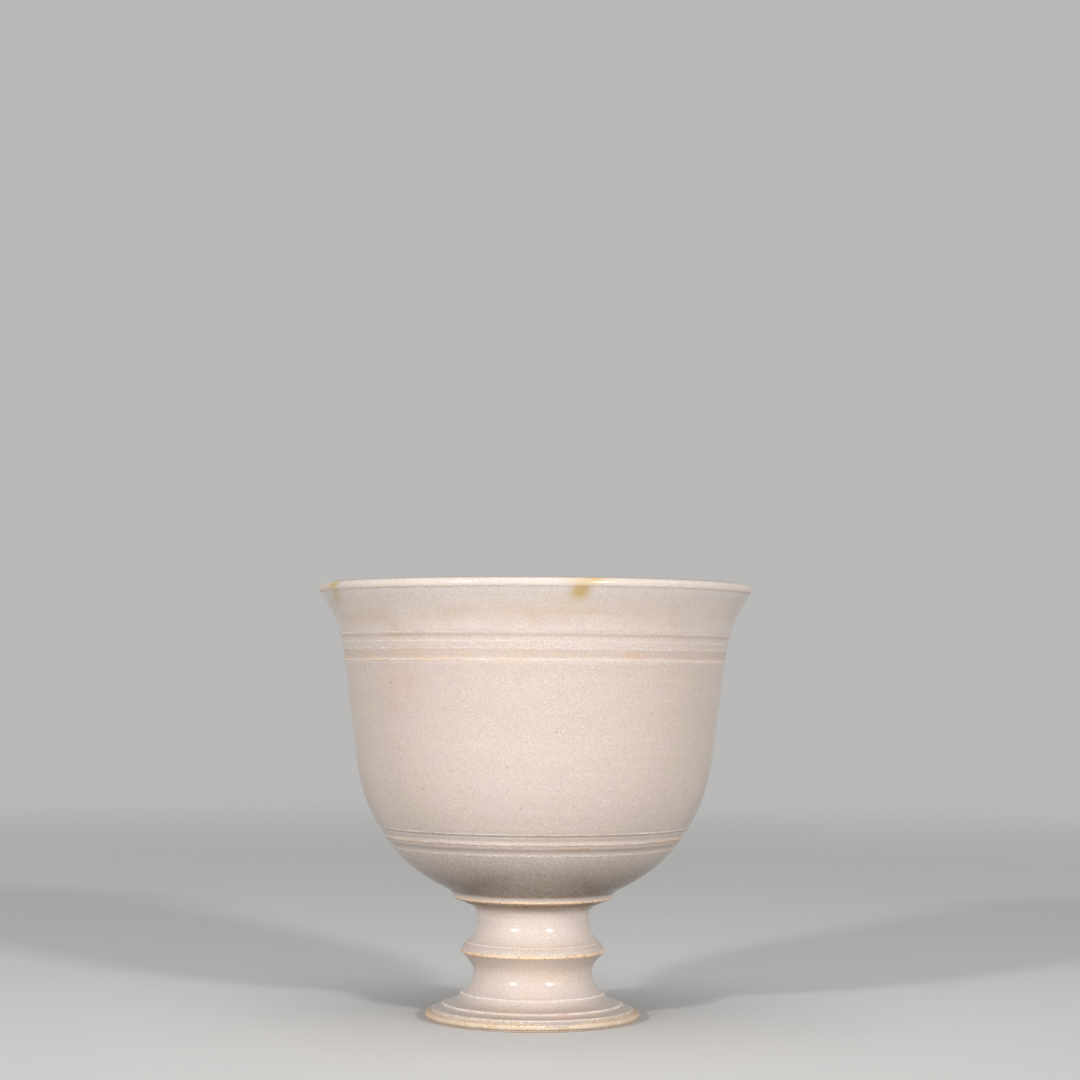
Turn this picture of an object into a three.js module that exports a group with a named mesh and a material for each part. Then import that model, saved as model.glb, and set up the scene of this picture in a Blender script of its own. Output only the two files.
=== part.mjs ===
// A wheel-thrown white stem cup: a deep flared bowl luted to a knopped stem with a stepped, hollow foot.
// Sizes are in millimetres and +Z is up. The origin is the centre of the ring that the cup rests on.
import * as THREE from "three";

// Main sizes: the wall's height follows from the whole height, and the lip is the widest ring
const cupHeight = 84.5; // resting plane to the top of the lip
const lipRadius = 42.47;

// Stem and foot: radii, and rises stacked upward from the resting plane
const restOuterRadius = 20.2; // outer edge of the unglazed resting ring
const restInnerRadius = 16.4; // inner edge of the resting ring
const footRadius = 20.98; // widest edge of the foot
const footEdgeRise = 1.0; // resting plane to the widest edge
const rollTopRadius = 19.9; // inner end of the foot's rounded edge
const rollTopRise = 0.65;
const glazeLineRadius = 19.55; // nose where the glaze stops above the foot's edge
const glazeLineRise = 0.5;
const lowerStepRadius = 17.5; // nose of the lower turned step
const lowerStepRise = 0.9;
const upperStepRadius = 14.1; // nose of the upper turned step
const upperStepRise = 1.92;
const lowerNeckRadius = 11.54; // waist between the foot and the knop
const lowerNeckRise = 3.83;
const knopUnderRadius = 13.9; // lower edge of the knop
const knopUnderRise = 4.05;
const knopRadius = 14.0; // widest ring of the knop
const knopRise = 0.3;
const knopLineRadius = 13.0; // fine arris on the knop's upper shoulder
const knopLineRise = 1.7;
const upperNeckRadius = 10.83; // waist between the knop and the bowl
const upperNeckRise = 4.15;
const stemTopRadius = 13.4; // stem's upper face, where the bowl is luted on
const stemTopRise = 3.5;

// Hollow under the foot, a trumpet that narrows up the stem
const hollowThroatRadius = 5.0;
const hollowThroatHeight = 8.5;
const hollowCrownRadius = 4.0;
const hollowCrownHeight = 16.5;
const hollowDomeRise = 2.4; // rounded end above the crown

// Luted joint: a low tenon in a shallow recess, with fired slip filling the gap all round
const slipThickness = 0.4;
const tenonRadius = 9.0;
const tenonHeight = 1.2;
const recessRadius = tenonRadius + slipThickness; // recess in the bowl's base, round the slip's cap

// Bowl: radii, and rises stacked upward from its base
const baseSpread = 1.1; // how far the bowl's base reaches past the stem's upper face
const baseRadius = stemTopRadius + baseSpread;
const collarSpread = 0.9; // turned edge round the base
const collarRadius = baseRadius + collarSpread;
const collarRise = 0.4;
const filletWidth = 1.6; // small cove between the collar and the belly
const filletRadius = collarRadius + filletWidth;
const filletRise = 1.85;
const bellyRadius = 34.9; // wall where the round belly ends
const bellyRise = 25.75;
const wallRadius = 37.3; // top of the nearly upright wall
const lipRise = 13.9; // wall's top to the widest ring of the lip
const lipThickness = 2.6; // the lip's roll, from its outer to its inner side
const wallThickness = 3.4;
const floorThickness = 6.2; // clay between the base and the deepest point inside

// Turned grooves: each one's lower arris above the wall's top or the bowl's base, its width and its depth
const beltGroove = { aboveWall: 0.05, width: 1.77, depth: 0.24 };
const beltCrease = { aboveWall: 3.5, width: 1.5, depth: 0.13 };
const keelGroove = { aboveBase: 12.6, width: 1.7, depth: 0.42 };
const keelCrease = { aboveBase: 10.3, width: 1.5, depth: 0.2 };
const grooveSkew = 0.72; // below 1, a groove is deepest near its upper arris

// Directions of the outlines in degrees: 0 points outward, 90 up and 180 inward
const outward = 0;
const up = 90;
const inward = 180;
const bellyStartAngle = 25.2;
const wallAngle = 82.2;
const lipAngle = 55;
const noseAngle = 105; // a step's nose as it rises
const ledgeAngle = 165; // the end of a step's ledge at the nose above it

// Ends of the curves: direction, and how far the curve keeps to it, as a share of the curve's chord
const roundHandle = 0.39; // gives a quarter of a circle
const roundUp = { angle: up, handle: roundHandle };
const roundInward = { angle: inward, handle: roundHandle };
const roundDown = { angle: -up, handle: roundHandle };
const roundOutward = { angle: outward, handle: roundHandle };
const evenHandle = 0.33; // gives an even, gentle curve
const filletStart = { angle: 80, handle: 0.35 };
const filletEnd = { angle: bellyStartAngle, handle: 0.35 };
const bellyStart = { angle: bellyStartAngle, handle: 0.14 };
const bellyEnd = { angle: wallAngle, handle: 0.585 };
const wallEnd = { angle: wallAngle, handle: evenHandle };
const flareStart = { angle: 89, handle: 0.4 };
const flareEnd = { angle: lipAngle, handle: 0.15 };
const innerFlareStart = { angle: lipAngle - inward, handle: 0.2 };
const innerFlareEnd = { angle: wallAngle - inward, handle: 0.4 };
const innerWallEnd = { angle: wallAngle - inward, handle: evenHandle };
const innerBellyStart = { angle: wallAngle - inward, handle: 0.6 };
const innerBellyEnd = { angle: inward, handle: 0.5 };
const trumpetStart = { angle: -up, handle: 0.5 };
const trumpetEnd = { angle: -up / 2, handle: 0.3 };
const footEdgeStart = { angle: up / 2, handle: 0.3 };
const footEdgeEnd = { angle: up, handle: 0.3 };
const rollStart = { angle: up, handle: 0.5 };
const rollEnd = { angle: ledgeAngle, handle: 0.3 };
const ledgeStart = { angle: ledgeAngle, handle: 0.4 };
const glazeNoseEnd = { angle: up, handle: 0.4 };
const stepNoseEnd = { angle: noseAngle, handle: 0.45 };
const lowerNeckStart = { angle: 140, handle: 0.05 };
const lowerNeckEnd = { angle: up, handle: 0.54 };
const knopUnderStart = { angle: up, handle: 0.18 };
const knopUnderEnd = { angle: 45, handle: 0.73 };
const knopStart = { angle: up / 2, handle: 0.3 };
const knopEnd = { angle: up, handle: 0.3 };
const shoulderStart = { angle: up, handle: 0.33 };
const shoulderEnd = { angle: 130, handle: 0.1 };
const upperNeckStart = { angle: 143, handle: 0.05 };
const upperNeckEnd = { angle: up, handle: 0.52 };
const coveStart = { angle: up, handle: 0.5 };
const coveEnd = { angle: 20.7, handle: 0.38 };

// Steps along each curve and round the wheel
const roundSegments = 60;
const fineSteps = 3;
const curveSteps = 5;
const longSteps = 9;

const at = (radius, height) => new THREE.Vector2(radius, height);

// A smooth curve that leaves one point of an outline and arrives at another
function bend(from, leave, to, arrive, steps) {
  const chord = from.distanceTo(to);
  const arm = ({ angle, handle }) => {
    const turn = THREE.MathUtils.degToRad(angle);
    return at(Math.cos(turn), Math.sin(turn)).multiplyScalar(handle * chord);
  };
  const fromControl = from.clone().add(arm(leave));
  const toControl = to.clone().sub(arm(arrive));
  return new THREE.CubicBezierCurve(from, fromControl, toControl, to).getPoints(steps);
}

// Radius of an outline that only climbs, at one height
function radiusAt(outline, height) {
  const above = outline.findIndex((point) => point.y >= height);
  const low = outline[above - 1];
  const high = outline[above];
  return THREE.MathUtils.mapLinear(height, low.y, high.y, low.x, high.x);
}

// Cuts a channel into a climbing outline, upward from the height of its lower arris
function cutGroove(outline, height, groove) {
  const top = height + groove.width;
  const low = at(radiusAt(outline, height), height);
  const high = at(radiusAt(outline, top), top);
  const channel = [];
  for (let step = 0; step <= fineSteps; step += 1) {
    const share = step / fineSteps;
    const point = low.clone().lerp(high, share ** grooveSkew);
    point.x -= groove.depth * Math.sin(Math.PI * share);
    channel.push(point);
  }
  const below = outline.filter((point) => point.y < height);
  const above = outline.filter((point) => point.y > top);
  return [...below, ...channel, ...above];
}

// Turns an outline round the Z axis. Points that repeat where two curves meet are dropped.
function turned(name, outline, material) {
  const points = outline.filter((point, index) => index === 0 || !point.equals(outline[index - 1]));
  const geometry = new THREE.LatheGeometry(points, roundSegments);
  geometry.rotateX(Math.PI / 2);
  const mesh = new THREE.Mesh(geometry, material);
  mesh.name = name;
  return mesh;
}

// The bowl, from the recess in its base, up the outside, over the lip and down the inside
function makeBowl(height) {
  const collar = at(collarRadius, collarRise);
  const fillet = at(filletRadius, collar.y + filletRise);
  const belly = at(bellyRadius, fillet.y + bellyRise);
  const rim = at(lipRadius - lipThickness / 2, height);
  const lip = at(lipRadius, rim.y - lipThickness / 2);
  const wallTop = at(wallRadius, lip.y - lipRise);
  const innerLip = at(lip.x - lipThickness, lip.y);
  const innerWallTop = at(wallTop.x - wallThickness, wallTop.y);
  const innerBelly = at(belly.x - wallThickness, belly.y);
  const floor = at(0, floorThickness);

  let outside = [
    ...bend(collar, filletStart, fillet, filletEnd, fineSteps),
    ...bend(fillet, bellyStart, belly, bellyEnd, longSteps),
    ...bend(belly, wallEnd, wallTop, wallEnd, fineSteps),
    ...bend(wallTop, flareStart, lip, flareEnd, curveSteps),
  ];
  outside = cutGroove(outside, wallTop.y + beltCrease.aboveWall, beltCrease);
  outside = cutGroove(outside, wallTop.y + beltGroove.aboveWall, beltGroove);
  outside = cutGroove(outside, keelGroove.aboveBase, keelGroove);
  outside = cutGroove(outside, keelCrease.aboveBase, keelCrease);
  const roll = [
    ...bend(lip, roundUp, rim, roundInward, fineSteps),
    ...bend(rim, roundInward, innerLip, roundDown, fineSteps),
  ];
  const inside = [
    ...bend(innerLip, innerFlareStart, innerWallTop, innerFlareEnd, curveSteps),
    ...bend(innerWallTop, innerWallEnd, innerBelly, innerWallEnd, fineSteps),
    ...bend(innerBelly, innerBellyStart, floor, innerBellyEnd, longSteps),
  ];
  const base = [
    at(0, tenonHeight),
    at(recessRadius, tenonHeight),
    at(recessRadius, 0),
    at(baseRadius, 0),
  ];
  const glaze = new THREE.MeshStandardMaterial({ color: "#ded2c4", roughness: 0.35, metalness: 0 });
  return turned("bowl", [...base, ...outside, ...roll, ...inside], glaze);
}

// The fired slip: a thin ring between the two faces, and a thin cap over the tenon
function makeSlip() {
  const outline = [
    at(0, tenonHeight),
    at(tenonRadius, tenonHeight),
    at(tenonRadius, 0),
    at(stemTopRadius, 0),
    at(baseRadius, slipThickness),
    at(recessRadius, slipThickness),
    at(recessRadius, slipThickness + tenonHeight),
    at(0, slipThickness + tenonHeight),
  ];
  const slip = new THREE.MeshStandardMaterial({ color: "#b08e6c", roughness: 0.9, metalness: 0 });
  return turned("luting_slip", outline, slip);
}

// Stations of the stem and foot, each stacked on the one below
function stemStations() {
  const footEdge = at(footRadius, footEdgeRise);
  const rollTop = at(rollTopRadius, footEdge.y + rollTopRise);
  const glazeLine = at(glazeLineRadius, rollTop.y + glazeLineRise);
  const lowerStep = at(lowerStepRadius, glazeLine.y + lowerStepRise);
  const upperStep = at(upperStepRadius, lowerStep.y + upperStepRise);
  const lowerNeck = at(lowerNeckRadius, upperStep.y + lowerNeckRise);
  const knopUnder = at(knopUnderRadius, lowerNeck.y + knopUnderRise);
  const knop = at(knopRadius, knopUnder.y + knopRise);
  const knopLine = at(knopLineRadius, knop.y + knopLineRise);
  const upperNeck = at(upperNeckRadius, knopLine.y + upperNeckRise);
  const top = at(stemTopRadius, upperNeck.y + stemTopRise);
  const foot = { footEdge, rollTop, glazeLine, lowerStep, upperStep };
  const stem = { lowerNeck, knopUnder, knop, knopLine, upperNeck, top };
  return { ...foot, ...stem };
}

// The stem and foot, from the hollow's crown down to the resting ring, then up the outside to the tenon
function makeStemFoot(stations) {
  const { footEdge, rollTop, glazeLine, lowerStep, upperStep } = stations;
  const { lowerNeck, knopUnder, knop, knopLine, upperNeck, top } = stations;
  const restInner = at(restInnerRadius, 0);
  const restOuter = at(restOuterRadius, 0);
  const throat = at(hollowThroatRadius, hollowThroatHeight);
  const crown = at(hollowCrownRadius, hollowCrownHeight);
  const dome = at(0, crown.y + hollowDomeRise);
  const hollow = [
    ...bend(dome, roundOutward, crown, roundDown, fineSteps),
    throat,
    ...bend(throat, trumpetStart, restInner, trumpetEnd, curveSteps),
  ];
  const foot = [
    ...bend(restOuter, footEdgeStart, footEdge, footEdgeEnd, fineSteps),
    ...bend(footEdge, rollStart, rollTop, rollEnd, fineSteps),
    ...bend(rollTop, ledgeStart, glazeLine, glazeNoseEnd, fineSteps),
    ...bend(glazeLine, ledgeStart, lowerStep, stepNoseEnd, fineSteps),
    ...bend(lowerStep, ledgeStart, upperStep, stepNoseEnd, curveSteps),
  ];
  const stem = [
    ...bend(upperStep, lowerNeckStart, lowerNeck, lowerNeckEnd, curveSteps),
    ...bend(lowerNeck, knopUnderStart, knopUnder, knopUnderEnd, curveSteps),
    ...bend(knopUnder, knopStart, knop, knopEnd, fineSteps),
    ...bend(knop, shoulderStart, knopLine, shoulderEnd, fineSteps),
    ...bend(knopLine, upperNeckStart, upperNeck, upperNeckEnd, curveSteps),
    ...bend(upperNeck, coveStart, top, coveEnd, curveSteps),
  ];
  const tenon = [
    at(tenonRadius, top.y),
    at(tenonRadius, top.y + tenonHeight),
    at(0, top.y + tenonHeight),
  ];
  const glaze = new THREE.MeshStandardMaterial({ color: "#d8cbbb", roughness: 0.35, metalness: 0 });
  return turned("stem_foot", [...hollow, restInner, restOuter, ...foot, ...stem, ...tenon], glaze);
}

const stations = stemStations();
const stemFoot = makeStemFoot(stations);
const slip = makeSlip();
const bowlBase = stations.top.y + slipThickness;
const bowl = makeBowl(cupHeight - bowlBase);
slip.position.z = stations.top.y;
bowl.position.z = bowlBase;

const stemCup = new THREE.Group();
stemCup.name = "stem_cup";
stemCup.add(stemFoot, slip, bowl);

export default stemCup;
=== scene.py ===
import math

import bpy
import numpy as np
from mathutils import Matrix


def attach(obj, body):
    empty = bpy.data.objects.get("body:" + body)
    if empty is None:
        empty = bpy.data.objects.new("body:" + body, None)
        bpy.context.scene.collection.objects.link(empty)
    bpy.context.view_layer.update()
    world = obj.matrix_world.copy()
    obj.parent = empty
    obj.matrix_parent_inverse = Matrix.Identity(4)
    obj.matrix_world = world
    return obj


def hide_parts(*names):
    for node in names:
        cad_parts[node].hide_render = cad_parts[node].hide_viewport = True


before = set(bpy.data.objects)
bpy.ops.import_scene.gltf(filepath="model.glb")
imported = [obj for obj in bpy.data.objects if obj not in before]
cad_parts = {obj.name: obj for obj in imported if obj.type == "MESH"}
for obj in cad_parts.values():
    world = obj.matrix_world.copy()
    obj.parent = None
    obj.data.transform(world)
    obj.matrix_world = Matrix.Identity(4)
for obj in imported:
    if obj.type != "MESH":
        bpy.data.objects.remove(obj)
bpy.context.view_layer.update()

# A white stem cup on a pale floor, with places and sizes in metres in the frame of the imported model
MM = 0.001

# Seeds of the random draws
BOWL_SEED = 7
STEM_SEED = 8
SLIP_SEED = 9

# Arrises of the turned outlines: radius and height, near enough to find each one
BOWL_ARRISES = {
    "recess_floor": (9.4 * MM, 24.1 * MM),
    "recess_mouth": (9.4 * MM, 22.9 * MM),
    "base": (14.5 * MM, 22.9 * MM),
    "collar": (15.4 * MM, 23.3 * MM),
    "keel_crease_low": (27.6 * MM, 33.2 * MM),
    "keel_crease_top": (28.7 * MM, 34.7 * MM),
    "keel_groove_low": (29.3 * MM, 35.5 * MM),
    "keel_groove_top": (30.4 * MM, 37.2 * MM),
    "belt_groove_low": (37.3 * MM, 69.4 * MM),
    "belt_groove_top": (37.5 * MM, 71.1 * MM),
    "belt_crease_low": (37.8 * MM, 72.8 * MM),
    "belt_crease_top": (38.2 * MM, 74.3 * MM),
    "lip": (42.5 * MM, 83.2 * MM),
}
STEM_ARRISES = {
    "crown": (4.0 * MM, 16.5 * MM),
    "throat": (5.0 * MM, 8.5 * MM),
    "rest_inner": (16.4 * MM, 0.0),
    "rest_outer": (20.2 * MM, 0.0),
    "foot_edge": (21.0 * MM, 1.0 * MM),
    "roll_top": (19.9 * MM, 1.65 * MM),
    "glaze_line": (19.55 * MM, 2.15 * MM),
    "lower_step": (17.5 * MM, 3.05 * MM),
    "upper_step": (14.1 * MM, 5.0 * MM),
    "knop_under": (13.9 * MM, 12.85 * MM),
    "knop": (14.0 * MM, 13.15 * MM),
    "knop_line": (13.0 * MM, 14.85 * MM),
    "top": (13.4 * MM, 22.5 * MM),
    "tenon_root": (9.0 * MM, 22.5 * MM),
    "tenon_top": (9.0 * MM, 23.7 * MM),
}
SLIP_ARRISES = {
    "cap_top": (9.4 * MM, 24.1 * MM),
    "cap_root": (9.4 * MM, 22.9 * MM),
    "rim_top": (14.5 * MM, 22.9 * MM),
    "rim_low": (13.4 * MM, 22.5 * MM),
    "inner_low": (9.0 * MM, 22.5 * MM),
    "inner_top": (9.0 * MM, 23.7 * MM),
}
BOWL_HIDDEN = ("recess_floor", "recess_mouth")
STEM_HIDDEN = ("crown", "throat", "tenon_root", "tenon_top")
SLIP_SHOWN = ("rim_top", "rim_low")

# Fineness of the turned meshes
OUTLINE_STEP = 0.05 * MM
ARRIS_ROUNDING = 0.09 * MM
SOFT_ARRISES = {"lip": 0.16 * MM}
BELL_REACH = 3  # how far a soft average reaches, in its own sizes
BOWL_SEGMENTS = 400
STEM_SEGMENTS = 360
BOWL_SPACING = 1.178 * MM
STEM_SPACING = 0.62 * MM
SLIP_SPACING = 0.8 * MM
HIDDEN_SPACING = 1.5 * MM
SHOWN_INSIDE = 4 * MM  # how far the fine rings go on past the lip and under the foot
ARRIS_SPACING = 0.13 * MM
ARRIS_REACH = 0.6 * MM
SPACING_GROWTH = 0.6
ON_PLANE = 0.002 * MM
PLACE_DIGITS = 5


def node_outline(name):
    """Radius and height of a turned node's outline, from its higher end on the axis to its lower one."""
    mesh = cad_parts[name].data
    key_of = {}
    for v in mesh.vertices:
        if abs(v.co.y) < ON_PLANE and v.co.x > -ON_PLANE:
            key_of[v.index] = (round(v.co.x, PLACE_DIGITS) + 0.0, round(v.co.z, PLACE_DIGITS) + 0.0)
    links = {key: set() for key in key_of.values()}
    for edge in mesh.edges:
        a, b = (key_of.get(i) for i in edge.vertices)
        if a and b and a != b:
            links[a].add(b)
            links[b].add(a)
    ends = sorted((key for key in links if len(links[key]) == 1), key=lambda key: key[1])
    path = [ends[-1]]
    while len(path) < len(links):
        ahead = [key for key in links[path[-1]] if key not in path]
        path.append(ahead[0])
    return np.array(path)


def cubic_through(points, step):
    """Points along a natural cubic curve through the given ones, evenly spaced."""
    knots = np.concatenate([[0], np.cumsum(np.hypot(*np.diff(points, axis=0).T))])
    count = len(points)
    if count == 2:
        bends = np.zeros((2, 2))
    else:
        gap = np.diff(knots)
        matrix = np.eye(count)
        right = np.zeros((count, 2))
        slope = np.diff(points, axis=0) / gap[:, None]
        for i in range(1, count - 1):
            matrix[i, i - 1:i + 2] = gap[i - 1], 2 * (gap[i - 1] + gap[i]), gap[i]
            right[i] = 6 * (slope[i] - slope[i - 1])
        bends = np.linalg.solve(matrix, right)
    steps = max(2, int(math.ceil(knots[-1] / step)))
    along = np.linspace(0, knots[-1], steps + 1)
    span = np.clip(np.searchsorted(knots, along, side="right") - 1, 0, count - 2)
    width = (knots[span + 1] - knots[span])[:, None]
    left = (knots[span + 1] - along)[:, None]
    right_part = (along - knots[span])[:, None]
    low, high = points[span], points[span + 1]
    bend_low, bend_high = bends[span], bends[span + 1]
    curve = (bend_low * left ** 3 + bend_high * right_part ** 3) / (6 * width)
    curve += (low / width - bend_low * width / 6) * left
    curve += (high / width - bend_high * width / 6) * right_part
    return curve


class Outline:
    """A dense, slightly rounded outline of a turned piece, with the place of each arris along it."""

    def __init__(self, node, arrises):
        coarse = node_outline(node)
        corner = {}
        for name, place in arrises.items():
            corner[name] = int(np.argmin(np.hypot(*(coarse - np.array(place)).T)))
        cuts = sorted({0, len(coarse) - 1, *corner.values()})
        runs = [cubic_through(coarse[a:b + 1], OUTLINE_STEP) for a, b in zip(cuts[:-1], cuts[1:])]
        points = np.concatenate([runs[0]] + [run[1:] for run in runs[1:]])
        starts = np.concatenate([[0], np.cumsum([len(run) - 1 for run in runs])])
        along = np.concatenate([[0], np.cumsum(np.hypot(*np.diff(points, axis=0).T))])
        self.place = {name: along[starts[cuts.index(i)]] for name, i in corner.items()}
        self.along = along
        self.points = self.rounded(points, ARRIS_ROUNDING)
        for name in SOFT_ARRISES.keys() & self.place.keys():
            size = SOFT_ARRISES[name]
            near = np.exp(-((along - self.place[name]) / (BELL_REACH * size)) ** 2)
            self.points += near[:, None] * (self.rounded(points, size) - self.points)

    def rounded(self, points, size):
        """Rounds the arrises by a soft average along the outline. The ends stay on the axis."""
        reach = int(round(BELL_REACH * size / OUTLINE_STEP))
        weight = np.exp(-0.5 * (np.arange(-reach, reach + 1) * OUTLINE_STEP / size) ** 2)
        weight /= weight.sum()
        low = 2 * points[0] - points[reach:0:-1]
        high = 2 * points[-1] - points[-2:-reach - 2:-1]
        padded = np.concatenate([low, points, high])
        soft = np.stack([np.convolve(padded[:, k], weight, "valid") for k in range(2)], 1)
        soft[[0, -1]] = points[[0, -1]]
        return soft

    def stations(self, spacing_at, shown):
        """Where the mesh has its rings: spacing_at gives the open spacing, and shown arrises are finer."""
        at = [0.0]
        while at[-1] < self.along[-1]:
            here = at[-1]
            near = min(abs(here - self.place[name]) for name in shown)
            grow = max(0.0, near - ARRIS_REACH) * SPACING_GROWTH
            at.append(here + min(spacing_at(here), ARRIS_SPACING + grow))
        at[-1] = self.along[-1]
        return np.array(at)

    def at(self, along):
        return np.stack([np.interp(along, self.along, self.points[:, k]) for k in range(2)], 1)


def eased(part):
    return part * part * (3 - 2 * part)


def smooth_step(low, high, value):
    return eased(np.clip((value - low) / (high - low), 0, 1))


class Surface:
    """A piece's grid of rings and segments, with angles in degrees from the front at -Y towards +X.

    A field has a row per ring and a column per segment.
    """

    def __init__(self, outline, stations, segments, seed):
        self.outline = outline
        self.along = stations
        self.angle = np.linspace(-180, 180, segments, endpoint=False)
        self.random = np.random.default_rng(seed)
        self.profile = outline.at(stations)
        self.radius = np.repeat(self.profile[:, :1], segments, 1)
        self.height = np.repeat(self.profile[:, 1:], segments, 1)
        heading = np.gradient(self.profile, axis=0)
        heading /= np.hypot(*heading.T)[:, None]
        self.outward = np.stack([-heading[:, 1], heading[:, 0]], 1)
        self.fields = {}

    def flat(self, value=0.0):
        return np.full(self.radius.shape, float(value))

    def past(self, name, shift=0.0):
        """A column that is true on the rings past an arris, shifted along the outline."""
        return (self.along > self.outline.place[name] + shift)[:, None]

    def beyond(self, name, shift=0.0):
        """How far each ring lies past an arris, shifted along the outline, as a column."""
        return self.along[:, None] - (self.outline.place[name] + shift)

    def noise(self, cell, turn_cell, most=1.0):
        """Smooth random field between -most and most, with cells in metres along and degrees round."""
        rows = int(math.ceil(self.along[-1] / cell)) + 2
        columns = max(3, int(round(360 / turn_cell)))
        grid = self.random.uniform(-1, 1, (rows, columns))

        def weights(place, count, turning):
            low = np.floor(place).astype(int)
            part = eased(place - low)
            table = np.zeros((len(place), count))
            index = np.arange(len(place))
            table[index, low % count] += 1 - part
            high = (low + 1) % count if turning else np.minimum(low + 1, count - 1)
            table[index, high] += part
            return table

        down = weights(self.along / cell, rows, False)
        around = weights((self.angle + 180) / 360 * columns, columns, True)
        return most * (down @ grid @ around.T)

    def push(self, depth):
        """Moves the surface inwards along its own outline's normal by a depth field."""
        self.radius -= depth * self.outward[:, :1]
        self.height -= depth * self.outward[:, 1:]

    def turn_gap(self, centre):
        return np.abs((self.angle - centre + 180) % 360 - 180)[None, :]

    def object(self, name):
        """The finished mesh, closed by a point on the axis at each end, with the fields as attributes."""
        turn = np.radians(self.angle)[None, :]
        x = self.radius[1:-1] * np.sin(turn)
        y = -self.radius[1:-1] * np.cos(turn)
        body = np.stack([x, y, self.height[1:-1]], 2).reshape(-1, 3)
        rings, segments = len(self.along) - 2, len(self.angle)
        first = [[0, 0, self.height[0, 0]]]
        last = [[0, 0, self.height[-1, 0]]]
        places = np.concatenate([first, body, last])
        column = np.arange(segments)
        ahead = (column + 1) % segments
        row = 1 + np.arange(rings - 1)[:, None] * segments
        quads = np.stack([row + column, row + segments + column, row + segments + ahead, row + ahead], 2)
        end = len(places) - 1
        last_row = 1 + (rings - 1) * segments
        faces = [tuple(quad) for quad in quads.reshape(-1, 4).tolist()]
        faces += [(0, 1 + int(a), 1 + int(b)) for a, b in zip(column, ahead)]
        faces += [(last_row + int(a), end, last_row + int(b)) for a, b in zip(column, ahead)]
        mesh = bpy.data.meshes.new(name)
        mesh.from_pydata(places.tolist(), [], faces)
        mesh.shade_smooth()
        for key, field in self.fields.items():
            whole = np.concatenate([field[0, :1], field[1:-1].ravel(), field[-1, :1]])
            attribute = mesh.attributes.new(key, "FLOAT", "POINT")
            attribute.data.foreach_set("value", whole.astype(np.float32))
        piece = bpy.data.objects.new(name, mesh)
        bpy.context.scene.collection.objects.link(piece)
        return piece


# Lines of thin glaze: half width in mm, rust, strength, shift down in mm, share broken into dots
BOWL_LINES = {
    "lip": (0.22, 0.6, 0.9, 0.45, 1.0),
    "belt_crease_top": (0.15, 0.0, 1.0, -0.02, 0.6),
    "belt_crease_low": (0.15, 0.05, 1.0, 0.1, 0.3),
    "belt_groove_top": (0.15, 0.0, 1.0, -0.3, 0.8),
    "belt_groove_low": (0.2, 0.2, 1.0, 0.05, 0.6),
    "keel_groove_top": (0.18, 0.2, 1.0, 0.02, 0.0),
    "keel_groove_low": (0.24, 0.3, 1.0, 0.24, 0.1),
    "keel_crease_top": (0.2, 0.1, 0.3, 0.0, 0.4),
    "keel_crease_low": (0.18, 0.05, 1.0, 0.2, 0.9),
    "collar": (0.3, 1.0, 1.0, -0.08, 0.0),
}
STEM_LINES = {
    "knop_line": (0.2, 0.25, 0.7, 0.0, 0.2),
    "knop": (0.4, 0.85, 0.95, 0.1, 0.0),
    "upper_step": (0.24, 0.1, 1.0, -0.25, 0.0),
    "lower_step": (0.26, 0.15, 1.0, -0.15, 0.0),
    "glaze_line": (0.2, 0.1, 0.9, -0.1, 0.7),
}
SLIP_LINES = {
    "rim_top": (0.4, 1.0, 1.0, 0.0, 0.0),
}

# Stretches of a line with more rust in it: line, middle and half width in degrees from the front, rust
BOWL_RUST = [
    ("belt_groove_low", -28, 9.5, 1.3),
    ("belt_groove_low", -9, 3.5, 0.9),
    ("belt_groove_low", -4, 2.5, 1.0),
    ("belt_groove_low", -54, 9, 0.6),
    ("belt_groove_low", 29, 3, 0.35),
    ("belt_groove_low", 128, 24, 0.8),
    ("keel_groove_top", 14, 26, 0.35),
    ("keel_groove_top", 160, 16, 0.7),
    ("keel_groove_low", -52, 8, 0.3),
    ("keel_groove_low", 62, 12, 0.4),
    ("keel_crease_top", 14, 7, 1.3),
]
STEM_RUST = [
    ("upper_step", 12, 6, 0.4),
    ("upper_step", 150, 14, 0.7),
    ("lower_step", -8, 20, 0.5),
    ("knop_line", 5, 30, 0.35),
]

# Stretches where a line is fainter: line, middle and half width in degrees, share lost
BOWL_FADES = [
    ("lip", 45, 45, 0.9),
    ("belt_crease_top", 20, 55, 0.9),
    ("belt_crease_low", 15, 60, 0.95),
    ("belt_groove_top", 5, 45, 0.8),
    ("belt_groove_low", 20, 34, 0.75),
    ("keel_groove_top", -12, 12, 0.3),
]
STEM_FADES = [
    ("upper_step", 2, 34, 0.75),
    ("lower_step", 2, 34, 0.6),
    ("glaze_line", 2, 34, 0.5),
]

# Bands of pooled glaze and of painted shade, which darken the grooves, the belly towards the collar and the
# stem under the collar: from this arris and offset in mm, to that arris and offset, strength at each end
BOWL_POOLS_AND_SHADE = [
    ("belt_crease_top", 0.1, "belt_crease_low", -0.2, 0.0, 0.04),
    ("belt_groove_top", 0.1, "belt_groove_low", -0.15, 0.14, 0.2),
    ("belt_groove_low", 0.8, "keel_groove_top", -1.0, 0.1, 0.04),
    ("keel_groove_top", -1.4, "keel_groove_top", -0.15, 0.02, 0.14),
    ("keel_groove_top", 0.9, "keel_groove_low", -0.3, 0.15, 0.25),
    ("keel_groove_low", 0.6, "keel_crease_top", 0.0, 0.05, 0.15),
    ("keel_crease_top", 0.3, "keel_crease_low", -0.2, 0.25, 0.3),
    # painted shade: the belly darker towards the collar
    ("keel_crease_low", 0.3, "collar", -1.5, 0.1, 1.2),
    ("collar", -1.5, "collar", -0.4, 0.2, 0.05),
    ("collar", 0.15, "base", 0.5, 0.8, 0.9),
]
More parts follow.
